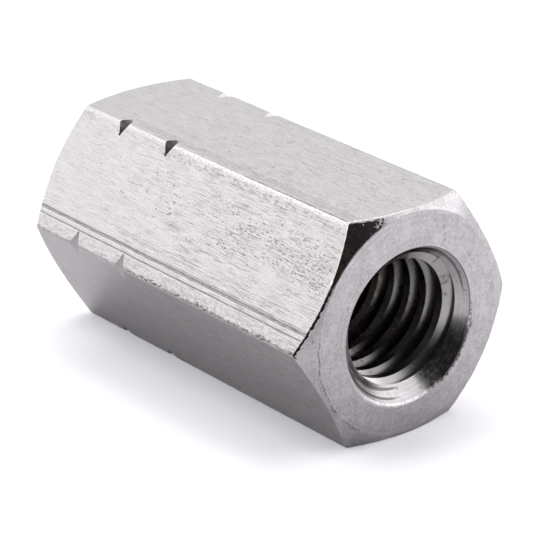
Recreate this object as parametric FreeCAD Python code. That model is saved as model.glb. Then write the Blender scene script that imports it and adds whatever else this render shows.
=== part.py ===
import FreeCAD, Part
import math
import os

# A long coupling nut, one piece: hexagon bar turned, grooved, drilled, countersunk and tapped.
# Millimetres and degrees. X is the thread axis, Z is up, and the nut lies on one of its flats.
# The origin is on the thread axis at mid length. The plain end is at +X, the grooved end at -X.
# Angles round the axis are counted from +Y towards +Z.

# The drawn hexagon bar
across_flats = 8.0
nut_length = 15.0
bar_corner_radius = 0.15

# The chamfer turned on both ends
chamfer_inset = 0.11
chamfer_angle = 32.0

# The V-grooves turned round the corners near the -X end
groove_count = 2
groove_from_end = 2.65
groove_spacing = 2.6
groove_depth = 0.21
groove_angle = 100.0

# The right-hand thread, cut through the whole length
thread_diameter = 5.0
thread_pitch = 0.8
thread_depth = 0.35
thread_angle = 60.0
thread_root_flat = 0.1
thread_start = 237.0

# The countersink at both mouths of the thread
countersink_margin = 0.25
countersink_angle = 90.0

# How far a cutting tool runs past the metal that it cuts
tool_overrun = 0.5
cutter_spare_turns = 3

side_count = 6
half_side = math.pi / side_count
half_length = nut_length / 2
flat_radius = across_flats / 2
sharp_radius = flat_radius / math.cos(half_side)
corner_radius = sharp_radius - bar_corner_radius * (1 / math.cos(half_side) - 1)
root_radius = thread_diameter / 2
bore_radius = root_radius - thread_depth
mouth_radius = root_radius + countersink_margin


def on_axis(x, radius):
    """A point of a turned profile, in the plane of the axis and +Y."""
    return FreeCAD.Vector(x, radius, 0)


def turned(points):
    """A solid of revolution about the thread axis, from the corners of half its section."""
    section = Part.Face(Part.makePolygon(points + points[:1]))
    return section.revolve(FreeCAD.Vector(0, 0, 0), FreeCAD.Vector(1, 0, 0), 360)


def hexagon_bar():
    """The bar as drawn: six flats, one facing down, with slightly rounded long corners."""
    corners = []
    for side in range(side_count):
        angle = 2 * half_side * side
        y = sharp_radius * math.cos(angle)
        z = sharp_radius * math.sin(angle)
        corners.append(FreeCAD.Vector(-half_length, y, z))
    section = Part.Face(Part.makePolygon(corners + corners[:1]))
    bar = section.extrude(FreeCAD.Vector(nut_length, 0, 0))
    long_edges = [edge for edge in bar.Edges if edge.BoundBox.XLength > nut_length / 2]
    return bar.makeFillet(bar_corner_radius, long_edges)


def chamfer_envelope():
    """The turned outline that takes the corners off both ends, as curved scallops on the flats."""
    face_radius = flat_radius - chamfer_inset
    outer_radius = corner_radius + tool_overrun
    chamfer_length = (outer_radius - face_radius) * math.tan(math.radians(chamfer_angle))
    return turned([
        on_axis(-half_length, 0),
        on_axis(-half_length, face_radius),
        on_axis(-half_length + chamfer_length, outer_radius),
        on_axis(half_length - chamfer_length, outer_radius),
        on_axis(half_length, face_radius),
        on_axis(half_length, 0),
    ])


def corner_groove(x):
    """The ring that one V-shaped tool cuts: it nicks the six corners and misses the flats."""
    bottom = corner_radius - groove_depth
    top = corner_radius + tool_overrun
    half_width = (top - bottom) * math.tan(math.radians(groove_angle / 2))
    return turned([on_axis(x - half_width, top), on_axis(x, bottom), on_axis(x + half_width, top)])


def drilled_hole():
    """The tapping drill's hole. Its wall is four quarter rounds, so each crest is cut in quarter turns."""
    quarters = []
    for quarter in range(4):
        arc_points = []
        for share in (0, 0.5, 1):
            angle = math.radians(90 * (quarter + share))
            y = bore_radius * math.cos(angle)
            z = bore_radius * math.sin(angle)
            arc_points.append(FreeCAD.Vector(-half_length - tool_overrun, y, z))
        quarters.append(Part.Arc(*arc_points).toShape())
    drill = Part.Face(Part.Wire(quarters))
    return drill.extrude(FreeCAD.Vector(nut_length + 2 * tool_overrun, 0, 0))


def countersink(side):
    """The cone that opens one mouth of the hole, at the +X end for side 1 and the -X end for side -1."""
    slope = math.tan(math.radians(countersink_angle / 2))
    point_depth = mouth_radius / slope
    back_radius = mouth_radius + tool_overrun * slope
    return turned([
        on_axis(side * (half_length - point_depth), 0),
        on_axis(side * (half_length + tool_overrun), back_radius),
        on_axis(side * (half_length + tool_overrun), 0),
    ])


def helix_turns(radius, shift, turns):
    """One edge for each turn of a right-hand helix about Z, starting at the height given by shift."""
    cylinder = Part.Cylinder()
    cylinder.Radius = radius
    edges = []
    for turn in range(turns):
        foot = FreeCAD.Base.Vector2d(2 * math.pi * turn, shift + thread_pitch * turn)
        head = FreeCAD.Base.Vector2d(2 * math.pi * (turn + 1), shift + thread_pitch * (turn + 1))
        edges.append(Part.Geom2d.Line2dSegment(foot, head).toShape(cylinder))
    return edges


def thread_cutter():
    """The metal that the tap takes out: a helix of the V-shaped groove between the crests."""
    slope = math.tan(math.radians(thread_angle / 2))
    inner_radius = bore_radius - thread_depth / 2
    half_root = thread_root_flat / 2
    half_mouth = half_root + (root_radius - inner_radius) * slope
    turns = math.ceil(nut_length / thread_pitch) + cutter_spare_turns
    corners = [
        (inner_radius, -half_mouth),
        (root_radius, -half_root),
        (root_radius, half_root),
        (inner_radius, half_mouth),
    ]
    helices = [helix_turns(radius, shift, turns) for radius, shift in corners]
    walls = []
    for side in range(4):
        for lower, upper in zip(helices[side], helices[(side + 1) % 4]):
            walls.append(Part.makeRuledSurface(lower, upper))
    for turn, end in ((0, 0), (-1, 1)):
        rim = [helix[turn].Vertexes[end].Point for helix in helices]
        walls.append(Part.Face(Part.makePolygon(rim + rim[:1])))
    cutter = Part.Solid(Part.Shell(walls))
    if cutter.Volume < 0:
        cutter.reverse()
    cutter.rotate(FreeCAD.Vector(0, 0, 0), FreeCAD.Vector(0, 1, 0), 90)
    cutter.rotate(FreeCAD.Vector(0, 0, 0), FreeCAD.Vector(1, 0, 0), 90 + thread_start)
    cutter.translate(FreeCAD.Vector(half_length - (turns - 1) * thread_pitch, 0, 0))
    return cutter


def coupling_nut():
    nut = hexagon_bar().common(chamfer_envelope())
    for index in range(groove_count):
        nut = nut.cut(corner_groove(-half_length + groove_from_end + index * groove_spacing))
    nut = nut.cut(drilled_hole())
    for side in (1, -1):
        nut = nut.cut(countersink(side))
    return nut.cut(thread_cutter()).Solids[0]


os.makedirs("parts", exist_ok=True)
coupling_nut().exportStep("parts/coupling_nut.step")
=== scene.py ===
import math

import bpy
from mathutils import Matrix, Vector, noise


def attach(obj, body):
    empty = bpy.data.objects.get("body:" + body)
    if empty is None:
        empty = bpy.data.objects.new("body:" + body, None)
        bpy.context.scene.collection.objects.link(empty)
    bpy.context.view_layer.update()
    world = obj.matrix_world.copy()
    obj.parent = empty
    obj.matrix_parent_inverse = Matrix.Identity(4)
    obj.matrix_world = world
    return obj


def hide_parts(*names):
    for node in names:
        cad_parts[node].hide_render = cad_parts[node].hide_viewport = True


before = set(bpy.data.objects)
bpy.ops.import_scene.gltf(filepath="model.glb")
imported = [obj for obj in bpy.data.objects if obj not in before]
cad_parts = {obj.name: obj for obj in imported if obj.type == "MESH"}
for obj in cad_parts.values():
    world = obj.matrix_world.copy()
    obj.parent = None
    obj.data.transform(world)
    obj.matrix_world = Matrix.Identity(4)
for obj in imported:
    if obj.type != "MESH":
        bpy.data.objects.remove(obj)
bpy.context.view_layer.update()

mm = 0.001
scene = bpy.context.scene
scene.view_settings.view_transform = "Standard"

# the nut's sizes in millimetres and degrees, with X along the thread
# a flat is named by the angle of its normal, counted from +Y towards +Z
nutShape = {
    "acrossFlats": 8.0, "length": 15.0, "barCorner": 0.15,
    "faceRadius": 3.89, "chamferAngle": 32.0,
    "grooves": (-2.25, -4.85), "grooveDepth": 0.21, "grooveAngle": 100.0,
    "edgeRagged": 0.03, "cornerRagged": 0.012, "cornerReach": 0.13,
    "crispEdge": (50, 148),  # between these angles the near face's edge is crisp
    "wear": {30: 0.6, 90: 0.65, 150: 1.0, 210: 0.25, 270: 0.6, 330: 0.6},  # how scratched each flat is
    "cornerWear": 0.5,
    # the mesh: columns across a flat and closer ones by its edges, rings along the skin, and the rings of
    # each shorter stretch as shares of it
    "flatStep": 0.12, "cornerColumns": (0, 0.03, 0.07, 0.13, 0.2, 0.3, 0.41), "skinStep": 0.11,
    "endZone": 0.75, "endRings": (0, 0.05, 0.13, 0.25, 0.42, 0.62, 0.82), "grooveMargin": 0.06,
    "faceRings": (0.08, 0.25, 0.5, 0.75, 0.93, 1.0), "chamferRings": (0.35, 0.7), "smoothAngle": 24,
    "cornerTurns": (-15, 0, 15),  # the columns round each rounded corner, in degrees
    "drawLines": ((150, 1.535, 0.045, 0.014), (150, 1.765, 0.016, 0.008)),  # flat, place, half width, depth
    # in half widths of such a line: its sides, its columns, and the width that other columns leave free
    "lineReach": 1.4, "lineColumns": (-1.6, -0.8, 0, 0.8, 1.6), "lineClear": 1.8,
    "leastGroove": 0.002,  # where the skin lies deeper than this, it is a groove's
}
thread = {
    "crest": 2.15, "root": 2.5, "pitch": 0.8, "halfRoot": 0.05, "halfAngle": 30.0, "start": 237.0,
    "mouth": 2.75, "drop": 0.1, "lip": 0.15, "lipTurns": (30, 15, 0),  # the lip's rings, in degrees
    "rimRagged": 0.018, "rimReach": 0.12,
    "tornRim": (185, 300), "calmRim": 0.3,  # most ragged between these angles
    "coneRings": ((0.08, 0.0), (0.11, 0.008), (0.15, -0.004), (0.19, 0.004)),  # depth, and step outwards
    "coneFrom": 0.24, "coneStep": 0.05, "coneCount": 8,  # its deeper rings
    "ringGap": 0.008, "coneNear": 0.014,  # the least gap to the thread's rings, and to the cone for its faces
}
halfSide = math.radians(30)  # half of the angle that one flat spans
halfLength = nutShape["length"] / 2
flatRadius = nutShape["acrossFlats"] / 2
faceRadius = nutShape["faceRadius"]
sharpRadius = flatRadius / math.cos(halfSide)
arcCentre = sharpRadius - nutShape["barCorner"] / math.cos(halfSide)
cornerRadius = arcCentre + nutShape["barCorner"]
grooveRoot = cornerRadius - nutShape["grooveDepth"]
grooveSlope = math.tan(math.radians(nutShape["grooveAngle"] / 2))
chamferSlope = math.tan(math.radians(nutShape["chamferAngle"]))
flankSlope = math.tan(math.radians(thread["halfAngle"]))
flatHalf = flatRadius * math.tan(halfSide) - nutShape["barCorner"] * math.tan(halfSide)
lipDepth = thread["lip"] * (1 - math.cos(math.radians(45)))
lipReach = thread["lip"] * math.tan(math.radians(22.5))


def addNode(kind, inputs, **settings):
    # an input is a value or another node's output, and the node joins the tree of those outputs
    tree = next(value.id_data for value in inputs.values() if hasattr(value, "is_output"))
    node = tree.nodes.new(kind)
    for name, value in settings.items():
        setattr(node, name, value)
    for name, value in inputs.items():
        if hasattr(value, "is_output"):
            tree.links.new(value, node.inputs[name])
        else:
            node.inputs[name].default_value = value
    return node


def calc(operation, first, second=0.0, clamp=False):
    return addNode("ShaderNodeMath", {0: first, 1: second}, operation=operation, use_clamp=clamp).outputs[0]


def minus(first, second):
    return calc("SUBTRACT", first, second)


def folded(operation, values):
    result = values[0]
    for value in values[1:]:
        result = calc(operation, result, value)
    return result


def plus(*values):
    return folded("ADD", values)


def product(*values):
    return folded("MULTIPLY", values)


def largest(*values):
    return folded("MAXIMUM", values)


def pythagoras(first, second):
    return calc("SQRT", plus(product(first, first), product(second, second)))


def vectorCalc(operation, first, second=(0, 0, 0)):
    node = addNode("ShaderNodeVectorMath", {0: first, 1: second}, operation=operation)
    return node.outputs["Value" if operation in ("DISTANCE", "DOT_PRODUCT", "LENGTH") else "Vector"]


def remap(value, low, high, toLow=0.0, toHigh=1.0):
    limits = {"Value": value, "From Min": low, "From Max": high, "To Min": toLow, "To Max": toHigh}
    return addNode("ShaderNodeMapRange", limits, interpolation_type="SMOOTHSTEP").outputs[0]


def band(value, centre, half, soft):
    # 1 within half of the centre, falling to 0 over the soft width
    away = calc("ABSOLUTE", minus(value, centre))
    return remap(away, half, half + soft, 1, 0)


def blendColor(share, first, second):
    return addNode("ShaderNodeMix", {0: share, 6: first, 7: second}, data_type="RGBA").outputs[2]


def paint(color, finish, *coats):
    # coats one over the other: where each one lies, its strength and its color in the finish
    for share, strength, name in coats:
        color = blendColor(share if strength == 1 else product(share, strength), color, finish[name])
    return color


def stretched(place, stretch, offset):
    # the same stretch each way where it is one number
    scale = stretch if isinstance(stretch, tuple) else (stretch,) * 3
    return addNode("ShaderNodeMapping", {"Vector": place, "Location": offset, "Scale": scale}).outputs[0]


def grain(place, stretch, detail=3.0, offset=(0, 0, 0), rough=0.6):
    # noise with so many features per millimetre
    spot = stretched(place, stretch, offset)
    inputs = {"Vector": spot, "Scale": 1.0, "Detail": detail, "Roughness": rough}
    return addNode("ShaderNodeTexNoise", inputs).outputs["Fac"]


def ringGrain(value, scale, detail):
    # noise that changes with this value only
    inputs = {"W": value, "Scale": scale, "Detail": detail}
    return addNode("ShaderNodeTexNoise", inputs, noise_dimensions="1D").outputs["Fac"]


def centred(value):
    return minus(value, 0.5)


def patchy(place, stretch, low, high, offset=(0, 0, 0), toLow=0.0, toHigh=1.0, detail=3):
    # noise cut to patches, between these two levels
    return remap(grain(place, stretch, detail, offset), low, high, toLow, toHigh)


def dots(place, stretch, share, size=0.4, offset=(0, 0, 0), space="3D"):
    # pits of mixed sizes: one per cell, in this share of the cells, up to so many cells across
    inputs = {"Vector": stretched(place, stretch, offset), "Scale": 1.0}
    cells = addNode("ShaderNodeTexVoronoi", inputs, voronoi_dimensions=space).outputs
    chance = addNode("ShaderNodeSeparateColor", {0: cells["Color"]}).outputs
    radius = product(plus(chance[0], 0.35), size)
    pit = remap(cells["Distance"], product(radius, 0.3), radius, 1, 0)
    return product(pit, calc("LESS_THAN", chance[1], share))


def addMaterial(name, rough):
    material = bpy.data.materials.new(name)
    material.use_nodes = True
    nodes = material.node_tree.nodes
    shader = nodes["Principled BSDF"]
    shader.inputs["Roughness"].default_value = rough
    return material, shader, nodes.new("ShaderNodeTexCoord").outputs["Object"]


def steelMaterial(name, rough, drop=0.0):
    # a bare metal, and the point on it in millimetres: as a vector, and as length, radius and angle
    material, shader, coordinates = addMaterial(name, rough)
    shader.inputs["Metallic"].default_value = 1.0
    spot = addNode("ShaderNodeVectorMath", {0: coordinates, 3: 1 / mm}, operation="SCALE").outputs[0]
    spot = vectorCalc("ADD", spot, (0, 0, drop))
    axes = addNode("ShaderNodeSeparateXYZ", {0: spot}).outputs
    radius, angle = pythagoras(axes[1], axes[2]), calc("ARCTAN2", axes[2], axes[1])
    near = calc("GREATER_THAN", axes[0], 0)  # 1 on the half that ends in the plain face
    place = {"spot": spot, "along": axes[0], "radius": radius, "angle": angle, "near": near}
    return material, shader, place


def turnFrom(place, start):
    # the angle round the axis counted from this one, in degrees from -180 to 180
    turn = minus(product(place["angle"], 180 / math.pi), start)
    return addNode("ShaderNodeMath", {0: turn, 1: 180.0, 2: -180.0}, operation="WRAP").outputs[0]


def onArc(place, arc):
    # 1 on an arc round the axis, given by its middle, half its width and its soft edge in degrees
    middle, half, soft = arc
    return band(turnFrom(place, middle), 0, half, soft)


def nearPoint(place, value, start, level, radius, reach):
    # 1 at this angle round the axis and this level of the value, falling to 0 at this reach in millimetres
    away = product(turnFrom(place, start), math.radians(radius))
    return remap(pythagoras(away, minus(value, level)), 0, reach, 1, 0)


def onFlats(place):
    # adds the number of the flat (2 is the one at 150 degrees), the place across it, and its outline's radius
    sixth = 2 * halfSide
    side = calc("FLOOR", calc("DIVIDE", place["angle"], sixth))
    turn = minus(place["angle"], product(plus(side, 0.5), sixth))
    place["side"] = side
    place["across"] = product(place["radius"], calc("SINE", turn))
    place["outline"] = calc("DIVIDE", flatRadius, calc("COSINE", turn))


def connect(shader, color, roughness, height, depth):
    bump = addNode("ShaderNodeBump", {"Height": height, "Distance": depth * mm, "Strength": 1.0})
    for name, output in (("Base Color", color), ("Roughness", roughness), ("Normal", bump.outputs[0])):
        shader.id_data.links.new(output, shader.inputs[name])


# the drawn flats: fine streaks along the bar, pits, and on one flat the die's draw lines and a pitted strip
flatFinish = {
    "light": (0.735, 0.722, 0.732, 1), "dark": (0.545, 0.53, 0.535, 1), "scratch": (0.30, 0.285, 0.28, 1),
    "pit": (0.19, 0.165, 0.155, 1), "drawLine": (0.225, 0.202, 0.190, 1), "burrAndHighlight": (0.84, 0.82, 0.82, 1),
    "shine": (0.98, 0.97, 0.97, 1), "paintedDark": (0.02, 0.02, 0.02, 1),
    "rough": 0.34, "scratchDepth": 0.003,
    "topSide": 1, "markedSide": 2,  # the flats at 90 and 150 degrees
    "topPaintedShade": 0.085, "speckStrength": 0.62, "speckLevel": 0.665,  # the first darkens the whole top flat as painted shade; a lower level gives more specks
    "drawMarks": (  # flat, place across it, half width, strength, how broken, and where along it from and to
        (2, 1.497, 0.014, 1.0, 0.3, -8, 8), (2, 1.540, 0.040, 0.85, 0.35, -8, 8),
        (2, 1.765, 0.015, 1.0, 0.3, -8, 8), (2, 1.43, 0.014, 0.8, 0.7, 0.0, 7.5),
        (2, 1.19, 0.030, 0.45, 1.0, -3, 6.5), (2, 1.065, 0.010, 0.6, 0.9, -4, 7),
        (2, 1.33, 0.008, 0.45, 1.0, 0, 7.5), (2, 1.25, 0.008, 0.45, 1.0, 1, 7.5),
        (2, 0.93, 0.008, 0.4, 1.0, 1, 7.5), (2, 0.02, 0.008, 0.5, 1.0, 1, 7.5),
        (2, -0.30, 0.008, 0.5, 1.0, 0.5, 4), (2, 0.50, 0.008, 0.4, 1.0, -1, 6),
        (2, -1.68, 0.009, 0.5, 0.9, 0, 7.5), (2, -1.32, 0.008, 0.45, 1.0, -2, 7.5),
        (1, 2.285, 0.035, 0.95, 0.6, 1.5, 7.8), (1, 2.285, 0.03, 0.4, 0.8, -4, 2.5),
        (1, 1.78, 0.012, 0.5, 1.0, 2, 5.8), (1, 1.95, 0.14, 0.26, 0.8, -4.5, 8),
    ),
    # where across the marked flat these lie, in millimetres from its middle
    "lip": 1.615, "stripFrom": 1.84, "cornerPits": 2.25,  # the lip's painted highlight by the draw lines, then the strip and the pits towards the lower corner
    "speckled": -0.55, "chip": -0.36,  # most specks, and a bright chip at the near end
    "cornerLight": -2.14, "cornerShade": -1.97,  # the upper corner's painted highlight over a pale burr, and its dark line
}


def drawnPits(spot, place, wear):
    # specks, pits and short dashes, most of them in one strip of the marked flat
    most = band(place["across"], flatFinish["speckled"], 0.35, 0.9)
    zone = remap(place["marked"], 0, 1, 0.85, most)
    worn = product(patchy(spot, (0.5, 0.9, 1), 0.34, 0.6, (3.4, 3, 9)), wear, zone,
                   remap(place["along"], -5, 4, 0.08, 1.0))
    specks = plus(grain(spot, (9, 19, 1), 4, (8, 2, 3)), product(worn, 0.09))
    specks = remap(specks, flatFinish["speckLevel"], flatFinish["speckLevel"] + 0.035)
    specks = product(specks, flatFinish["speckStrength"], remap(worn, 0.02, 0.1))
    pits = dots(spot, (8, 15, 1), product(worn, 0.16), 0.42, (5, 2, 8), space="2D")
    pits = product(pits, patchy(spot, (24, 36, 1), 0.36, 0.5, (3, 8, 1)))
    dashes = dots(spot, (3.4, 19, 1), product(worn, 0.22), 0.42, (1, 2, 8), space="2D")
    return largest(pits, specks, dashes)


def drawnLines(place, wavering, breaks):
    # the die's draw lines, each broken up and fading at both ends
    drawn = 0.0
    for flat, centre, half, strength, broken, start, end in flatFinish["drawMarks"]:
        line = band(wavering, centre, half, half * 0.7)
        line = product(line, remap(breaks, 0, 1, strength * (1 - broken), strength),
                       calc("COMPARE", place["side"], flat),
                       band(place["along"], (start + end) / 2, (end - start) / 2 - 0.5, 1.0))
        drawn = largest(drawn, line)
    return drawn


def drawnFlats():
    values = flatFinish
    material, shader, place = steelMaterial("drawn flats", values["rough"])
    onFlats(place)
    side, across, along = place["side"], place["across"], place["along"]
    shifted = plus(along, product(side, 40))  # so that each flat has its own grain
    spot = addNode("ShaderNodeCombineXYZ", {0: shifted, 1: across}).outputs[0]
    wearNode = material.node_tree.nodes.new("ShaderNodeAttribute")
    wearNode.attribute_name = "wear"
    wear = wearNode.outputs["Fac"]
    onTop = calc("COMPARE", side, values["topSide"])
    marked = calc("COMPARE", side, values["markedSide"])
    place["marked"] = marked
    crisp = remap(along, -6, 2, 0.6, 1.0)  # the surface is calmer towards the far end

    streaks = grain(spot, (1.6, 30, 1), 3)
    longStreaks = grain(spot, (0.2, 7, 1), 4, (4, 1, 2))
    grit = grain(spot, (13, 24, 1), 3, (3, 1, 7))
    clouds = grain(spot, (1.8, 2.6, 1), 6, (7, 3, 5), 0.68)
    mixed = plus(product(streaks, 0.37), product(longStreaks, 0.12))
    mixed = plus(mixed, plus(product(grit, 0.38), product(clouds, 0.13)))
    spread = calc("DIVIDE", remap(wear, 0, 1, 0.09, 0.055), crisp)
    tone = remap(mixed, minus(0.5, spread), plus(0.5, spread))
    color = blendColor(tone, values["dark"], values["light"])

    scratches = product(patchy(spot, (1.1, 30, 1), 0.54, 0.64, (6, 4, 1)),
                        patchy(spot, (0.6, 1.3, 1), 0.36, 0.54, (2, 9, 4)), crisp,
                        remap(wear, 0, 1, 0.3, 0.8))
    pits = drawnPits(spot, place, wear)
    breaks = patchy(spot, (3.2, 18, 1), 0.38, 0.62, (1, 7, 7), detail=4)
    wobble = product(centred(grain(spot, (0.6, 0.1, 1), 2, (9, 3, 0))), 0.03)
    wavering = plus(across, wobble)
    # the lip: a painted highlight along the draw lines
    lip = product(marked, band(wavering, values["lip"], 0.008, 0.012), breaks)
    lines = drawnLines(place, wavering, breaks)
    # painted shade: the whole top flat is darkened towards the scratch color
    color = paint(color, values, (onTop, values["topPaintedShade"], "scratch"), (scratches, 1, "scratch"),
                  (pits, 0.8, "pit"), (lines, 1, "drawLine"))

    # the marked flat's pitted strip at its lower corner, and along its upper one a painted highlight over a
    # pale burr and a dark line
    rough = grain(spot, (6, 10, 1), 3, (8, 8, 8))
    roughShift = centred(rough)
    edge = plus(across, product(roughShift, 0.35))
    strip = product(marked, remap(across, values["stripFrom"] - 0.05, values["stripFrom"] + 0.05))
    stripPits = product(strip, patchy(spot, (5, 9, 1), 0.42, 0.66, (2, 2, 5), detail=4))
    stripLight = product(strip, patchy(spot, (5, 9, 1), 0.52, 0.68, (6, 1, 5), detail=4))
    alongCorner = remap(along, -3.5, -0.5, 0.3, 1)
    # painted highlight over a pale burr along the upper corner
    light = remap(edge, values["cornerLight"], values["cornerLight"] - 0.05)
    cornerLight = product(marked, light, alongCorner,
                          patchy(spot, (6, 12, 1), 0.40, 0.54, (6, 5, 5), 0.1, 1, 4))
    cornerShade = product(marked, band(edge, values["cornerShade"], 0.08, 0.08), alongCorner,
                          patchy(spot, (4.5, 8, 1), 0.48, 0.6, (2, 5, 1)))
    # pale burrs in the strip, and the painted highlights of the upper corner and the lip
    burrAndHighlight = largest(product(stripLight, 0.3), cornerLight, product(lip, 0.9))
    sway = centred(grain(spot, (1.1, 1, 1), 2, (6, 6, 2)))
    swaying = plus(edge, product(sway, 0.12))
    cornerPits = product(band(swaying, values["cornerPits"], 0.035, 0.03),
                         remap(sway, -0.12, 0.1, 0.7, 1), alongCorner, marked,
                         patchy(spot, (5, 11, 1), 0.42, 0.54, (2, 6, 1)))
    color = paint(color, values, (stripPits, 0.4, "scratch"), (cornerShade, 0.6, "scratch"),
                  (burrAndHighlight, 1, "burrAndHighlight"), (cornerLight, 0.7, "shine"), (cornerPits, 1, "pit"))

    # the burrs where the chamfer cuts the flats' near ends, and a line of painted shade along the marked
    # flat's end
    reach = halfLength + faceRadius * chamferSlope
    toEnd = minus(reach, plus(along, product(place["outline"], chamferSlope)))
    nick = plus(toEnd, product(roughShift, 0.12))
    # painted shade: a black line along the marked flat's near end
    paintedDark = product(marked, remap(nick, 0.01, 0.035, 1, 0), remap(across, -0.9, 0.2))
    fringe = product(remap(nick, 0.03, 0.06, 1, 0), remap(across, -2.0, -2.2, 0.5, 1.0))
    topNick = plus(toEnd, product(roughShift, 0.35))
    shine = product(onTop, remap(across, -1, 0.5), remap(topNick, 0.05, 0.08, 1, 0))
    chip = product(marked, band(edge, values["chip"], 0.08, 0.03), remap(nick, 0.07, 0.10, 1, 0))
    color = paint(color, values, (fringe, 0.8, "burrAndHighlight"), (paintedDark, 1, "paintedDark"),
                  (largest(shine, chip), 1, "shine"))

    roughness = remap(mixed, 0.35, 0.65, values["rough"] - 0.04, values["rough"] + 0.05)
    roughness = plus(roughness, product(burrAndHighlight, 0.15))
    height = plus(streaks, product(grit, 0.7), product(plus(strip, burrAndHighlight), rough))
    dips = plus(product(pits, 1.2), product(scratches, 0.8))
    height = product(minus(height, dips), crisp)
    connect(shader, color, roughness, height, values["scratchDepth"])
    return material


# the faced ends and their chamfers: matte, with fine pits, and with a painted dark reflection by one corner
faceFinish = {
    "light": (0.70, 0.685, 0.70, 1), "dark": (0.53, 0.515, 0.53, 1), "pit": (0.24, 0.22, 0.215, 1),
    "burrAndHighlight": (0.92, 0.91, 0.92, 1), "paintedDark": (0.042, 0.039, 0.039, 1), "brown": (0.16, 0.11, 0.09, 1),
    "side": (1.0, 0.975, 0.99, 1),  # painted light: the chamfer beside the draw lines is made lighter
    "rough": 0.42, "ringDepth": 0.003,
    # arcs round the axis: the middle, half the width and the soft edge, in degrees
    "sideArc": (168, 14, 12), "litArc": (81, 22, 6),  # the chamfer by the draw lines, painted lighter, and its part with a painted highlight
    "blackArc": (128.5, 19.9, 1.2),  # its black corner, a painted dark reflection
    "pittedArc": (205, 26, 12),  # the part of the face's edge that is pitted
    "jaggedArc": (323, 22, 8), "jaggedRim": (2.815, 2.83),  # the countersink's jagged rim, a painted dark reflection, ends at these radii
    "frayedHighlightArc": (251, 22, 14), "frayedHighlightRim": (2.825, 2.85),  # and its frayed burr with a painted highlight at these
    "shadeLineArc": (165, 15, 2), "fringeArc": (110, 8, 3),  # a line of painted shade along the end of one flat, and bright burrs along another
    "smearAngle": 61, "smearFrom": 3.0, "smearTilt": 11,  # its angle at this radius, and its slant
    "smearMiddle": 3.35, "smearHalf": 0.35,
    "smudges": (  # where round the near face, how far out, and how wide
        (5, 3.7, 0.22), (345, 3.85, 0.2), (35, 3.12, 0.2), (198, 3.3, 0.15), (139, 3.65, 0.12),
        (68, 3.68, 0.18), (155, 2.98, 0.15), (231, 3.85, 0.18),
    ),
}


def faceStains(place, color):
    # a slanted smear across the near face, and smudges
    values, spot, radius = faceFinish, place["spot"], place["radius"]
    tilt = product(minus(radius, values["smearFrom"]), values["smearTilt"])
    smear = minus(turnFrom(place, values["smearAngle"]), tilt)
    smear = product(band(smear, 0, 0.4, 1.2),
                    band(radius, values["smearMiddle"], values["smearHalf"], 0.15), place["near"],
                    patchy(spot, 3, 0.42, 0.6, (5, 5, 1)))
    color = paint(color, values, (smear, 0.65, "pit"))
    for start, level, reach in values["smudges"]:
        dirt = product(nearPoint(place, radius, start, level, level, reach), place["near"],
                       patchy(spot, 8, 0.4, 0.6, (0, 5, 2)))
        color = paint(color, values, (dirt, 0.45, "pit"))
    return color


def mouthRims(place, color):
    # the jagged dark rim of the near countersink, a painted dark reflection, and its frayed bright one, a
    # burr with a painted highlight, round the lowered mouth
    values, spot = faceFinish, place["spot"]
    axes = addNode("ShaderNodeSeparateXYZ", {0: spot}).outputs
    level = pythagoras(axes[1], plus(axes[2], thread["drop"]))
    # painted dark reflection along the rim
    teeth = product(minus(grain(spot, 11, 2, (4, 0, 2)), 0.48), 0.36)
    jagged = remap(minus(level, teeth), *values["jaggedRim"], 1, 0)
    jagged = product(jagged, onArc(place, values["jaggedArc"]), place["near"])
    # a frayed burr with a painted highlight
    fray = product(centred(grain(spot, 14, 3, (0, 3, 7))), 0.3)
    frayedHighlight = remap(minus(level, fray), *values["frayedHighlightRim"], 1, 0)
    frayedHighlight = product(frayedHighlight, onArc(place, values["frayedHighlightArc"]), place["near"],
                     patchy(spot, 9, 0.38, 0.56, (6, 3, 3), 0.25, 0.85))
    return paint(color, values, (jagged, 1, "paintedDark"), (frayedHighlight, 1, "burrAndHighlight"))


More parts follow.
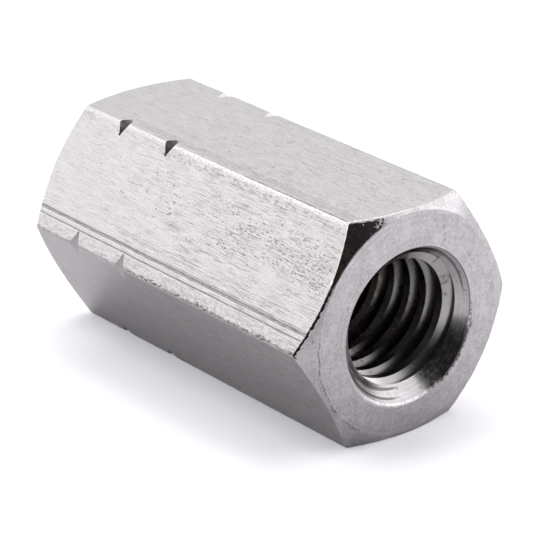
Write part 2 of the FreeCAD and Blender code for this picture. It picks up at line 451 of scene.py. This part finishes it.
def turnedFace():
    values = faceFinish
    material, shader, place = steelMaterial("turned face", values["rough"])
    onFlats(place)
    spot, radius, near = place["spot"], place["radius"], place["near"]
    wander = product(centred(grain(spot, 3, 3, (4, 4, 0))), 0.12)
    rings = ringGrain(radius, 9.0, 3.0)
    mottle = grain(spot, 1.6, 6, (2, 7, 1), 0.65)
    grit = grain(spot, 13, 3, (2, 7, 1))
    tone = plus(product(mottle, 0.40), plus(product(grit, 0.45), product(rings, 0.15)))
    color = blendColor(remap(tone, 0.40, 0.60), values["dark"], values["light"])
    outer = plus(radius, wander)
    # painted light: the chamfer beside the draw lines is lighter
    side = product(near, onArc(place, values["sideArc"]), remap(outer, faceRadius - 0.02, faceRadius + 0.05))
    color = paint(color, values, (side, remap(tone, 0.42, 0.58, 0.8, 1.0), "side"))
    pitted = onArc(place, values["pittedArc"])
    worn = patchy(spot, 1.4, 0.45, 0.62, (1, 1, 6), 0.04, 0.5, 4)
    worn = product(worn, remap(pitted, 0, 1, 0.7, 1.6))
    widePits = product(dots(spot, 5, product(worn, 0.4), 0.4), 0.6)
    pits = largest(dots(spot, 13, worn, 0.5), widePits)
    color = mouthRims(place, faceStains(place, color))

    # the edge between face and chamfer: on one side a broken pitted line
    rim = band(plus(radius, product(wander, 1.3)), faceRadius - 0.015, 0.016, 0.035)
    rim = product(rim, patchy(spot, 5, 0.38, 0.55, (7, 0, 3)), pitted)
    beside = product(pitted, band(radius, faceRadius + 0.08, 0.1, 0.15))
    pits = largest(pits, dots(spot, 13, product(beside, 0.3), 0.5, (2, 2, 2)))
    marks = largest(product(pits, 0.45), product(rim, 0.8))

    # the near chamfer: a painted highlight beside its black corner, a painted dark reflection tinted brown
    chamfer = product(near, remap(outer, faceRadius + 0.01, faceRadius + 0.04))
    # painted highlight on part of the chamfer
    lit = product(onArc(place, values["litArc"]), chamfer,
                  patchy(spot, 3.5, 0.36, 0.60, (3, 8, 3), 0.4, 1.0, 6),
                  patchy(spot, 11, 0.38, 0.54, (2, 6, 3), 0.55, 1.0))
    # the black corner: a painted dark reflection, tinted brown
    flaky = centred(grain(spot, 9, 5, (1, 8, 8), 0.75))
    middle, half, soft = values["blackArc"]
    turn = turnFrom(place, middle)
    turn = plus(turn, product(flaky, remap(turn, -22, -8, 48, 16)))
    black = product(band(turn, 0, half, soft), chamfer)
    brown = product(patchy(spot, 7, 0.42, 0.58, (9, 2, 2)), remap(turn, -6, 2))
    brown = largest(product(brown, 0.6), remap(grit, 0.45, 0.65, 0, 0.25))
    blackColor = blendColor(brown, values["paintedDark"], values["brown"])

    # the ragged painted shade and the bright burr along the ends of the flats
    ragged = product(centred(grain(spot, 7, 3, (1, 8, 8))), 0.16)
    inset = plus(minus(place["outline"], radius), ragged)
    # painted shade: a black line along the end of the flat at 150 degrees
    paintedDark = product(near, onArc(place, values["shadeLineArc"]), remap(inset, 0.05, 0.075, 1, 0))
    flecks = product(black, dots(spot, 7, 0.12, 0.3, (3, 3, 1)))
    fringe = product(remap(inset, 0.035, 0.055, 1, 0), onArc(place, values["fringeArc"]))
    shine = largest(flecks, product(near, fringe))
    color = blendColor(black, paint(color, values, (marks, 1, "pit"), (lit, 1, "burrAndHighlight")), blackColor)
    color = paint(color, values, (paintedDark, 1, "paintedDark"), (shine, 1, "burrAndHighlight"))

    onChamfer = remap(outer, faceRadius - 0.01, faceRadius + 0.06)
    roughness = plus(values["rough"], product(onChamfer, 0.08), product(side, 0.2))
    height = minus(tone, plus(product(pits, 0.6), product(rim, 0.6)))
    height = plus(height, product(plus(lit, shine), 0.5))
    connect(shader, color, roughness, height, values["ringDepth"])
    return material


# the cutters' bright marks: the countersinks and the marking grooves
cutFinish = {
    "light": (0.65, 0.635, 0.645, 1), "dark": (0.52, 0.505, 0.515, 1), "brown": (0.30, 0.24, 0.21, 1),
    "ridge": (0.15, 0.145, 0.15, 1), "pit": (0.08, 0.075, 0.07, 1), "shine": (1.0, 0.99, 1.0, 1),
    "rough": 0.2, "ringDepth": 0.0025,
    "insideRadius": 3.2,  # the countersinks lie within it, and the grooves, which have no rings, outside it
    "ridges": (  # the tool's dark ridges: the first angle, the span, and radius and half width at both ends
        (192, 76, 2.590, 0.075, 2.575, 0.018), (192, 80, 2.345, 0.11, 2.320, 0.016),
        (345, 100, 2.715, 0.010, 2.745, 0.016), (8, 80, 2.570, 0.012, 2.655, 0.040),
        (186, 34, 2.640, 0.020, 2.200, 0.030), (196, 34, 2.620, 0.014, 2.300, 0.020),
    ),
    "stains": ((24, 2.34, 0.16), (54, 2.45, 0.2), (12, 2.6, 0.1)),  # angle, radius and reach
    # arcs round the axis: the middle, half the width and the soft edge, in degrees
    "dullArc": (197, 22, 14), "darkReflectionArc": (318, 20, 10),  # the cone's dull part, and its dark part, a painted dark reflection tinted brown
    "frayedHighlightArc": (258, 24, 18), "frayedHighlightFrom": 2.67, "frayedHighlightTo": 2.74,  # the frayed part by the rim, with a painted highlight
    "rimArc": (325, 28, 20), "rimPits": 2.77,  # the rim's pitted part, and at which radius
    "darkRimArc": (322, 19, 6), "darkRim": 2.79,  # and its dark part, a painted dark reflection
    "brightCorner": (60, 20, 5), "softCorner": (180, 20, 5),  # the grooves have painted highlights there, and are duller at one
}


def toolRidges(place, color):
    # dark ridges round the countersinks, each changing in radius and width along it
    for start, span, level, half, endLevel, endHalf in cutFinish["ridges"]:
        turn = turnFrom(place, start + span / 2)
        share = calc("DIVIDE", plus(turn, span / 2), span, clamp=True)
        middle = plus(level, product(share, endLevel - level))
        width = plus(half, product(share, endHalf - half))
        away = calc("ABSOLUTE", minus(place["radius"], middle))
        ridge = remap(minus(away, width), -0.01, 0.02, 1, 0)
        ridge = product(ridge, band(turn, 0, span / 2 - 12, 12))  # it fades out at both ends
        color = paint(color, cutFinish, (ridge, 0.85, "ridge"))
    return color


def brightCut():
    values = cutFinish
    material, shader, place = steelMaterial("bright cut", values["rough"], thread["drop"])
    spot, radius = place["spot"], place["radius"]
    grit = grain(spot, 6, 3, (1, 2, 8))
    fineRings = ringGrain(place["along"], 24.0, 2.0)
    wideRings = ringGrain(place["along"], 7.0, 1.0)
    inside = calc("LESS_THAN", radius, values["insideRadius"])
    outside = minus(1, inside)
    tone = plus(product(grit, 0.5), product(fineRings, 0.5))
    color = blendColor(remap(tone, 0.36, 0.64), values["dark"], values["light"])
    stains = patchy(spot, 1.8, 0.6, 0.75, (5, 9, 3), 0, 0.6, 4)
    color = toolRidges(place, paint(color, values, (stains, 1, "brown")))
    for start, level, reach in values["stains"]:
        stain = product(nearPoint(place, radius, start, level, level, reach),
                        patchy(spot, 7, 0.4, 0.55, (0, 5, 2)))
        color = paint(color, values, (stain, 0.8, "brown"))

    # painted dark reflection on the cone, tinted brown
    darkReflection = product(inside, onArc(place, values["darkReflectionArc"]))
    rusty = patchy(spot, 4, 0.42, 0.58, (8, 3, 1))
    darkReflectionColor = blendColor(rusty, values["ridge"], values["brown"])
    # painted highlights on the grooves by two corners
    soft = onArc(place, values["softCorner"])
    bright = largest(onArc(place, values["brightCorner"]), soft)
    # a painted highlight with frayed specks on the cone by the rim
    frayedHighlight = product(inside, onArc(place, values["frayedHighlightArc"]),
                     remap(radius, values["frayedHighlightFrom"], values["frayedHighlightTo"]),
                     patchy(spot, 12, 0.4, 0.56, (0, 3, 7)))
    pits = product(inside, dots(spot, 7, 0.05, 0.3, (2, 2, 9)))
    rim = product(band(radius, values["rimPits"], 0.02, 0.025),
                  patchy(spot, 10, 0.46, 0.52, (4, 0, 2)), onArc(place, values["rimArc"]))
    # painted dark reflection along the rim
    darkRim = product(band(radius, values["darkRim"], 0.07, 0.02), onArc(place, values["darkRimArc"]))
    pits = largest(pits, rim, darkRim)
    color = blendColor(product(darkReflection, remap(tone, 0.4, 0.6, 0.45, 0.15)), color, darkReflectionColor)
    color = paint(color, values, (product(outside, bright), 0.5, "shine"), (frayedHighlight, 0.65, "shine"),
                  (pits, 0.8, "pit"))

    height = plus(product(inside, plus(product(fineRings, 0.7), wideRings)), product(grit, 0.05))
    streaked = plus(rusty, remap(fineRings, 0.4, 0.65, 0, 0.5))
    dull = plus(product(inside, onArc(place, values["dullArc"])), product(darkReflection, streaked, 0.28),
                product(outside, soft, 1.5))
    roughness = plus(values["rough"], product(dull, 0.22))
    connect(shader, color, roughness, minus(height, pits), values["ringDepth"])
    return material


# the tapped thread: grey at the mouths and darker further in as painted shade, with brown stains
threadFinish = {
    "near": (0.56, 0.55, 0.55, 1), "deep": (0.30, 0.29, 0.29, 1), "brown": (0.24, 0.165, 0.12, 1),
    "bright": (0.85, 0.84, 0.84, 1), "stain": (0.13, 0.11, 0.09, 1),
    "brightArc": (226, 26, 16),  # a painted highlight on the thread: the middle, half the width and the soft edge, in degrees
    "marks": (  # stains: the angle round the bore, how far in and how wide
        (26, 0.60, 0.24), (20, 0.66, 0.14), (8, 0.72, 0.12), (49, 1.0, 0.15),
    ),
    "scratchAngle": 48, "scratchInwards": 0.53, "scratchTilt": 10,  # where a scratch crosses the first flank
    "rough": 0.26, "tapDepth": 0.0015,
}


def tappedThread():
    values = threadFinish
    material, shader, place = steelMaterial("tapped thread", values["rough"], thread["drop"])
    spot, near = place["spot"], place["near"]
    inwards = minus(halfLength, calc("ABSOLUTE", place["along"]))
    # painted shade: darker further into the bore
    color = blendColor(remap(inwards, 0.4, 2.2), values["near"], values["deep"])
    # painted highlight on the thread's lower side
    bright = onArc(place, values["brightArc"])
    stains = patchy(spot, 1.3, 0.45, 0.62, (5, 2, 3), detail=4)
    stains = product(stains, remap(inwards, 1.0, 4.0, 0.15, 1.0))
    stains = largest(stains, dots(spot, 6, 0.1, 0.3, (2, 2, 9)))
    color = paint(color, values, (bright, 0.6, "bright"), (stains, 0.8, "brown"))
    for start, depth, reach in values["marks"]:
        mark = product(nearPoint(place, inwards, start, depth, thread["crest"], reach), near,
                       patchy(spot, (6, 9, 9), 0.4, 0.6, (7, 5, 3)))
        color = paint(color, values, (mark, 0.8, "stain"))
    tilt = product(minus(inwards, values["scratchInwards"]), values["scratchTilt"])
    scratch = plus(turnFrom(place, values["scratchAngle"]), tilt)
    scratch = product(band(scratch, 0, 0.3, 0.6),
                      band(inwards, values["scratchInwards"], 0.06, 0.04), near)
    flecks = product(bright, dots(spot, 9, 0.22, 0.45, (4, 2, 9)))
    color = paint(color, values, (scratch, 0.8, "stain"), (flecks, 0.8, "stain"))
    roughness = remap(stains, 0, 1, values["rough"], values["rough"] + 0.1)
    tapMarks = grain(spot, (14, 2, 2), 3)
    connect(shader, color, roughness, minus(tapMarks, stains), values["tapDepth"])
    return material


def columnPlaces():
    # every column round the nut: its angle, its radius, the flat that it is on and its place across that flat
    columns = []
    insets = nutShape["cornerColumns"]
    inner = flatHalf - insets[-1]
    for side in range(6):
        normal = 30 + 60 * side
        across = [edge * (flatHalf - inset) for edge in (-1, 1) for inset in insets]
        steps = int(inner * 2 / nutShape["flatStep"])
        across += [inner * (2 * step / steps - 1) for step in range(1, steps)]
        for flat, centre, halfWidth, depth in nutShape["drawLines"]:
            if flat == normal:
                clear = nutShape["lineClear"] * halfWidth + 0.01
                across = [t for t in across if abs(t - centre) > clear]
                across += [centre + halfWidth * share for share in nutShape["lineColumns"]]
        for t in sorted(across):
            angle = normal + math.degrees(math.atan2(t, flatRadius))
            columns.append((angle, math.hypot(t, flatRadius), normal, t))
        for turn in nutShape["cornerTurns"]:
            y = arcCentre + nutShape["barCorner"] * math.cos(math.radians(turn))
            z = nutShape["barCorner"] * math.sin(math.radians(turn))
            angle = normal + 30 + math.degrees(math.atan2(z, y))
            columns.append((angle, math.hypot(y, z), None, 0))
    return sorted(columns, key=lambda column: column[0])


def chamferEnd(radius):
    return halfLength - (radius - faceRadius) * chamferSlope


def skinStations(radius):
    # places along X from the near chamfer to the far one, lined up with the grooves' edges
    near = chamferEnd(radius)
    inner = halfLength - nutShape["endZone"]
    stations = [near + (inner - near) * share for share in nutShape["endRings"]]
    far = [-x for x in stations]
    zone = nutShape["grooveDepth"] * grooveSlope + nutShape["grooveMargin"]
    start = inner
    for groove in nutShape["grooves"]:
        count = max(2, round((start - groove - zone) / nutShape["skinStep"]))
        stations += [start + (groove + zone - start) * step / count for step in range(count)]
        width = max((radius - grooveRoot) * grooveSlope, 0.05)
        stations += [groove + place for place in (zone, width, width / 2, 0, -width / 2, -width)]
        start = groove - zone
    count = max(2, round((start + inner) / nutShape["skinStep"]))
    stations += [start + (-inner - start) * step / count for step in range(count + 1)]
    return stations + far[::-1]


def skinRadius(x, radius):
    grooved = [grooveRoot + abs(x - groove) / grooveSlope for groove in nutShape["grooves"]]
    return min([radius] + grooved)


def ragged(x, y, z, scale, seed):
    return noise.noise(Vector((x * scale + seed, y * scale, z * scale)))


def boreStations(angle):
    # the bore's outline at one angle, as (label, x, radius) from the near mouth to the far one
    crest, root, pitch = thread["crest"], thread["root"], thread["pitch"]
    halfRoot, mouth = thread["halfRoot"], thread["mouth"]
    halfMouth = halfRoot + (root - crest) * flankSlope
    lead = halfLength + pitch * (angle - thread["start"]) / 360

    def grooveAt(x):
        turn = round((lead - x) / pitch)
        away = abs(x - (lead - turn * pitch))
        return root if away <= halfRoot else root - (away - halfRoot) / flankSlope

    def coneAt(x):
        return mouth - (halfLength - abs(x))

    points = []
    for turn in range(-1, int(nutShape["length"] / pitch) + 3):
        centre = lead - turn * pitch
        for corner, place in enumerate((halfMouth, halfRoot, -halfRoot, -halfMouth)):
            x = centre + place
            level = crest if corner in (0, 3) else root
            if abs(x) < halfLength and coneAt(x) < level:
                points.append((("thread", turn, corner), x, level))
        for end in (1, -1):  # where the cone meets the groove's flanks and its root
            for corner, side in enumerate((1, -1)):
                foot = root + (side * centre + halfRoot) / flankSlope
                x = (foot - mouth + halfLength) / (end + side / flankSlope)
                level = coneAt(x)
                onFlank = abs(side * (x - centre) - halfRoot - (root - level) * flankSlope) < 1e-6
                if crest < level < root and onFlank and end * x > 0:
                    points.append((("meet", turn, corner, end), x, level))
            x = end * (halfLength - mouth + root)
            if abs(x - centre) < halfRoot:
                points.append((("rootMeet", turn, end), x, root))
    for end in (1, -1):
        x = end * (halfLength - mouth + crest)
        if grooveAt(x) < crest:
            points.append((("crestMeet", end), x, crest))
    taken = [x for label, x, level in points]
    steps = range(thread["coneCount"])
    deeper = [(thread["coneFrom"] + thread["coneStep"] * step, 0.0) for step in steps]
    depths = [(lipDepth, 0.0), *thread["coneRings"], *deeper]
    for end in (1, -1):
        for ring, (depth, shift) in enumerate(depths):
            x = end * (halfLength - depth)
            clear = min(abs(x - other) for other in taken) > thread["ringGap"]
            if clear and coneAt(x) > max(crest, grooveAt(x)) - 1e-9:
                points.append((("cone", ring, end), x, mouth - depth + shift))
    return sorted(points, key=lambda point: -point[1])


def mouthPoints():
    # the rings of a mouth's rounded lip and of the face round it, outwards: the depth below the face, the
    # radius and the share of the drop
    points = []
    start = thread["mouth"] + lipReach
    for angle in thread["lipTurns"]:
        turn = math.radians(angle)
        depth = thread["lip"] * (1 - math.cos(turn))
        points.append((depth, start - thread["lip"] * math.sin(turn), 1.0))
    for share in nutShape["faceRings"]:
        points.append((0.0, start + (faceRadius - start) * share, 1 - share))
    return points


def fading(distance, reach):
    return max(0.0, 1 - distance / reach)


def addObject(name, data):
    body = bpy.data.objects.new(name, data)
    scene.collection.objects.link(body)
    return body


def addPoint(verts, x, radius, angle, drop=0.0):
    verts.append((x * mm, radius * math.cos(angle) * mm, (radius * math.sin(angle) - drop) * mm))
    return len(verts) - 1


def addEnd(verts, end, radius, angle, rimShift):
    # from the mouth's lip out to the last ring of the chamfer
    points = []
    for depth, level, share in mouthPoints():
        near = fading(level - thread["mouth"], thread["rimReach"])
        drop = thread["drop"] * share
        points.append(addPoint(verts, end * (halfLength - depth), level + rimShift * near, angle, drop))
    edge = chamferEnd(radius)
    for share in nutShape["chamferRings"]:
        level = faceRadius + (radius - faceRadius) * share
        points.append(addPoint(verts, end * (halfLength + (edge - halfLength) * share), level, angle))
    return points


def addColumn(verts, degrees, radius, flat, t):
    # one column's points: those of the bore with their labels, and those of the outside from mouth to mouth
    angle = math.radians(degrees)
    y, z = math.cos(angle), math.sin(angle)
    firstTorn, lastTorn = thread["tornRim"]
    torn = 1.0 if firstTorn < degrees < lastTorn else thread["calmRim"]
    rimShift = thread["rimRagged"] * ragged(0, y, z, 24, 3) * torn
    inner = []
    for label, x, level in boreStations(degrees):
        near = fading(thread["mouth"] - level, thread["rimReach"])
        inner.append((label, addPoint(verts, x, level + rimShift * near, angle, thread["drop"])))

    outer = [inner[0][1]] + addEnd(verts, 1, radius, angle, rimShift)
    corner = fading(flatHalf - abs(t), nutShape["cornerReach"]) if flat else 1.0
    sink = 0.0
    for lineFlat, centre, halfWidth, depth in nutShape["drawLines"]:
        if flat == lineFlat:
            sink = max(sink, depth * fading(abs(t - centre), nutShape["lineReach"] * halfWidth))
    stations = skinStations(radius)
    for index, x in enumerate(stations):
        level = skinRadius(x, radius)
        if index in (0, len(stations) - 1):
            shift = nutShape["edgeRagged"] * ragged(math.copysign(2, x), y * 4, z * 4, 5, 5)
            x += math.copysign(shift, x)
        elif level == radius:
            level += nutShape["cornerRagged"] * corner * ragged(x, y * 4, z * 4, 7, 11) - sink
        outer.append(addPoint(verts, x, level, angle))
    outer += addEnd(verts, -1, radius, angle, rimShift)[::-1] + [inner[-1][1]]
    return inner, outer


onFlat, onFace, onCut, onThread = range(4)  # the numbers of the nut's finishes


def skinFaces(verts, columns, outers):
    # the outside's faces, each with its wear and its finish
    faces = []
    faceFrom = len(thread["lipTurns"])  # the lip's rings come first, then the face's and the chamfer's
    chamferTo = faceFrom + len(nutShape["faceRings"]) + len(nutShape["chamferRings"]) + 1
    for index, outer in enumerate(outers):
        nextColumn = (index + 1) % len(outers)
        nextOuter = outers[nextColumn]
        radius = max(columns[index][1], columns[nextColumn][1])
        wear = nutShape["wear"].get(columns[index][2] or columns[nextColumn][2], nutShape["cornerWear"])
        for step in range(len(outer) - 1):
            face = (outer[step], outer[step + 1], nextOuter[step + 1], nextOuter[step])
            place = min(step, len(outer) - 2 - step)
            middle = (verts[outer[step]][0] + verts[outer[step + 1]][0]) / 2 / mm
            grooved = skinRadius(middle, cornerRadius) < radius - nutShape["leastGroove"]
            if place < faceFrom or (place >= chamferTo and grooved):
                finish = onCut
            else:
                finish = onFace if place < chamferTo else onFlat
            faces.append((face, wear, finish))
    return faces


def boreFaces(verts, columns, inners):
    # the bore's faces, each with its wear and its finish
    faces = []
    for index, inner in enumerate(inners):
        if index + 1 < len(inners):
            other = inners[index + 1]
        else:
            labels = [label for label, x, level in boreStations(columns[0][0] + 360)]
            other = list(zip(labels, [point for label, point in inners[0]]))
        for face in stitch(inner, other, verts):
            radii = [math.hypot(verts[v][1], verts[v][2] + thread["drop"] * mm) for v in face]
            middle = sum(radii) / len(face) / mm
            x = sum(verts[v][0] for v in face) / len(face) / mm
            offCone = abs(middle - (thread["mouth"] - halfLength + abs(x)))
            faces.append((face, 0.0, onCut if offCone < thread["coneNear"] else onThread))
    return faces


def stitch(inner, other, verts):
    # the faces between two columns of the bore, whose points are paired by their labels
    mine, theirs = {label for label, point in inner}, {label for label, point in other}
    a = b = 0
    faces = []
    while a < len(inner) - 1 or b < len(other) - 1:
        nextA = inner[a + 1][0] if a < len(inner) - 1 else None
        nextB = other[b + 1][0] if b < len(other) - 1 else None
        start, across = inner[a][1], other[b][1]
        if nextA is not None and nextA == nextB:
            faces.append((across, other[b + 1][1], inner[a + 1][1], start))
            a, b = a + 1, b + 1
            continue
        ahead = nextA is not None and nextB in mine and verts[inner[a + 1][1]][0] > verts[other[b + 1][1]][0]
        if nextB is None or (nextA is not None and nextA not in theirs) or ahead:
            faces.append((across, inner[a + 1][1], start))
            a += 1
        else:
            faces.append((across, other[b + 1][1], start))
            b += 1
    return faces


def couplingNut(finishes):
    columns = columnPlaces()
    verts = []
    inners, outers = zip(*[addColumn(verts, *column) for column in columns])
    faces, wears, slots = zip(*skinFaces(verts, columns, outers), *boreFaces(verts, columns, inners))
    mesh = bpy.data.meshes.new("couplingNut")
    mesh.from_pydata(verts, [], faces)
    for finish in finishes:
        mesh.materials.append(finish)
    mesh.polygons.foreach_set("material_index", slots)
    mesh.attributes.new("wear", "FLOAT", "FACE").data.foreach_set("value", wears)
    mesh.shade_smooth()
    mesh.set_sharp_from_angle(angle=math.radians(nutShape["smoothAngle"]))
    firstCrisp, lastCrisp = nutShape["crispEdge"]
    for edge in mesh.edges:  # the face's edge is crisp only by the black corner
        x, y, z = [sum(mesh.vertices[v].co[axis] for v in edge.vertices) / 2 / mm for axis in range(3)]
        atEdge = abs(math.hypot(y, z) - faceRadius) < 0.02 and abs(x) > halfLength - 0.01
        if atEdge and not (x > 0 and firstCrisp < math.degrees(math.atan2(z, y)) < lastCrisp):
            edge.use_edge_sharp = False
    mesh.validate(verbose=True)
    print("nut:", len(verts), "vertices,", sum(len(face) - 2 for face in faces), "triangles")
    return addObject("couplingNut", mesh)


nut = couplingNut([drawnFlats(), turnedFace(), brightCut(), tappedThread()])
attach(nut, "root")
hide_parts("coupling_nut")
print("nut built")


# a light tent: pale walls with two bright windows, and the dark room behind the camera
studio = {
    "floorSize": 4, "floor": (0.88, 0.87, 0.93, 1), "floorRough": 0.9,
    "floorGlow": 0.28, "glowInMetal": 0.1,
    "moreGlow": ((0.0, 1.6, 0.12), (1.6, 4.4, 0.12)),  # from and to how far from the nut's foot, and how much
    "glowHalf": 6.4,  # half the foot's length for this glow
    # soft round patches: the middle, the reach, and the light that is added, or in the second line taken away
    "floorPatches": (((7.7, -3.6), 2.4, 0.11), ((8.2, -0.4), 1.6, -0.05), ((-6.0, -4.6), 2.8, 0.10)),
    "dimPatches": (((1.0, 8.0), 7, 0.24), ((-12.0, 1.0), 6, 0.29)),
    "dimFrom": 3.5, "dimTo": 14, "dimming": 0.31,  # the floor far from the nut is only just white
    "floorInMetal": (0.75, 0.735, 0.76, 1),  # its color as the metal shows it
    "brightFloor": (1.0, 0.98, 1.0, 1), "brightTowards": (39, 0), "brightFrom": 8, "brightTo": 20,
    "farFloor": (0.08, 0.08, 0.08, 1), "farTowards": (-50, 0), "farFrom": 14, "farTo": 30,  # in front
    "walls": (0.875, 0.862, 0.877, 1),
    "windows": (((-150, 35), 0.70), ((60, 24), 0.62)), "windowEdge": 4,  # the way there, the added level
    "darkMiddle": -44, "darkHalf": 64, "darkTop": 67, "darkEdge": 5, "darkLevel": 0.02,  # angles in degrees
}


def pointTo(azimuth, height):
    azimuth, height = math.radians(azimuth), math.radians(height)
    level = math.cos(height)
    return Vector((math.cos(azimuth) * level, math.sin(azimuth) * level, math.sin(height)))


def withPatches(value, place, patches):
    for centre, reach, gain in patches:
        away = vectorCalc("DISTANCE", place, Vector((*centre, 0)) * mm)
        value = plus(value, remap(away, 0, reach * mm, gain, 0))
    return value


def addFloor():
    bpy.ops.mesh.primitive_plane_add(size=studio["floorSize"], location=(0, 0, -flatRadius * mm))
    floor = bpy.context.object
    floor.name = "floor"
    material, shader, place = addMaterial("studio floor", studio["floorRough"])
    tree = material.node_tree
    shader.inputs["Specular IOR Level"].default_value = 0.0
    shader.inputs["Emission Color"].default_value = (1, 1, 1, 1)
    rays = tree.nodes.new("ShaderNodeLightPath").outputs

    # the glow that lifts the floor to white, and its dimming, by the distance from the nut's foot
    halfFoot = (studio["glowHalf"] * mm, flatRadius * math.tan(halfSide) * mm, 0)
    foot = vectorCalc("SUBTRACT", vectorCalc("ABSOLUTE", place), halfFoot)
    distance = vectorCalc("LENGTH", vectorCalc("MAXIMUM", foot))
    glow = studio["floorGlow"]
    for start, end, gain in studio["moreGlow"]:
        glow = plus(glow, remap(distance, start * mm, end * mm, 0, gain))
    glow = withPatches(glow, place, studio["floorPatches"])
    dimming = remap(distance, studio["dimFrom"] * mm, studio["dimTo"] * mm, 0, studio["dimming"])
    dimming = withPatches(dimming, place, studio["dimPatches"])
    inMetal = calc("ADD", rays["Is Glossy Ray"], rays["Is Transmission Ray"], clamp=True)
    seen = plus(rays["Is Camera Ray"], product(inMetal, studio["glowInMetal"]))
    glow = minus(product(seen, glow), product(rays["Is Camera Ray"], dimming))
    tree.links.new(glow, shader.inputs["Emission Strength"])

    color = studio["floorInMetal"]
    for other in ("bright", "far"):
        ahead = vectorCalc("DOT_PRODUCT", place, pointTo(*studio[other + "Towards"]))
        share = remap(ahead, studio[other + "From"] * mm, studio[other + "To"] * mm)
        color = blendColor(share, color, studio[other + "Floor"])
    color = blendColor(rays["Is Glossy Ray"], studio["floor"], color)
    tree.links.new(color, shader.inputs["Base Color"])
    floor.data.materials.append(material)


def addSky():
    world = bpy.data.worlds.new("studio")
    scene.world = world
    world.use_nodes = True
    tree = world.node_tree
    direction = tree.nodes.new("ShaderNodeTexCoord").outputs["Generated"]
    axes = addNode("ShaderNodeSeparateXYZ", {0: direction}).outputs
    azimuth = calc("ARCTAN2", axes[1], axes[0])
    edge = math.radians(studio["darkEdge"])
    half = math.radians(studio["darkHalf"]) - edge
    top = math.radians(studio["darkTop"])
    beside = band(azimuth, math.radians(studio["darkMiddle"]), half, 2 * edge)
    under = remap(axes[2], math.sin(top - edge), math.sin(top + edge), 1, 0)
    level = 1.0
    for towards, gain in studio["windows"]:
        facing = vectorCalc("DOT_PRODUCT", direction, pointTo(*towards))
        glow = calc("POWER", calc("MAXIMUM", facing, 0), studio["windowEdge"])
        level = plus(level, product(glow, gain))
    tent = minus(1, product(beside, under))
    level = calc("MAXIMUM", product(level, tent), studio["darkLevel"])
    background = tree.nodes["Background"]
    background.inputs["Color"].default_value = studio["walls"]
    tree.links.new(level, background.inputs["Strength"])


# the way to each lamp in degrees, its distance and size in metres, and its power in watts
lamps = {
    "softBox": {"towards": (130, 62), "distance": 0.5, "size": 0.3, "power": 0.5},
}


def addLamps():
    for name, values in lamps.items():
        lamp = bpy.data.lights.new(name, "AREA")
        lamp.shape = "DISK"
        lamp.size = values["size"]
        lamp.energy = values["power"]
        body = addObject(name, lamp)
        body.location = pointTo(*values["towards"]) * values["distance"]
        body.rotation_mode = "QUATERNION"
        body.rotation_quaternion = (-body.location).to_track_quat("-Z", "Y")


# angles in degrees, lengths in millimetres, and the clipping distance in metres
cameraView = {
    "azimuth": 50.583, "elevation": 23.066, "roll": 0.200,
    "shiftRight": 0.1892, "shiftUp": -0.534, "distance": 101.47,
    "lens": 195.98, "sensorWidth": 36, "clipStart": 0.005,
}


def addCamera():
    azimuth, height = math.radians(cameraView["azimuth"]), math.radians(cameraView["elevation"])
    level = math.cos(height)
    back = Vector((math.sin(azimuth) * level, -math.cos(azimuth) * level, math.sin(height)))
    right = Vector((0, 0, 1)).cross(back).normalized()
    up = back.cross(right)
    turn = math.radians(cameraView["roll"])
    right, up = right * math.cos(turn) + up * math.sin(turn), up * math.cos(turn) - right * math.sin(turn)
    camera = bpy.data.cameras.new("camera")
    camera.lens = cameraView["lens"]
    camera.sensor_width = cameraView["sensorWidth"]
    camera.clip_start = cameraView["clipStart"]
    body = addObject("camera", camera)
    place = right * cameraView["shiftRight"] + up * cameraView["shiftUp"] + back * cameraView["distance"]
    body.matrix_world = Matrix.Translation(place * mm) @ Matrix((right, up, back)).transposed().to_4x4()
    scene.camera = body


addFloor()
addSky()
addLamps()
addCamera()
print("studio set")
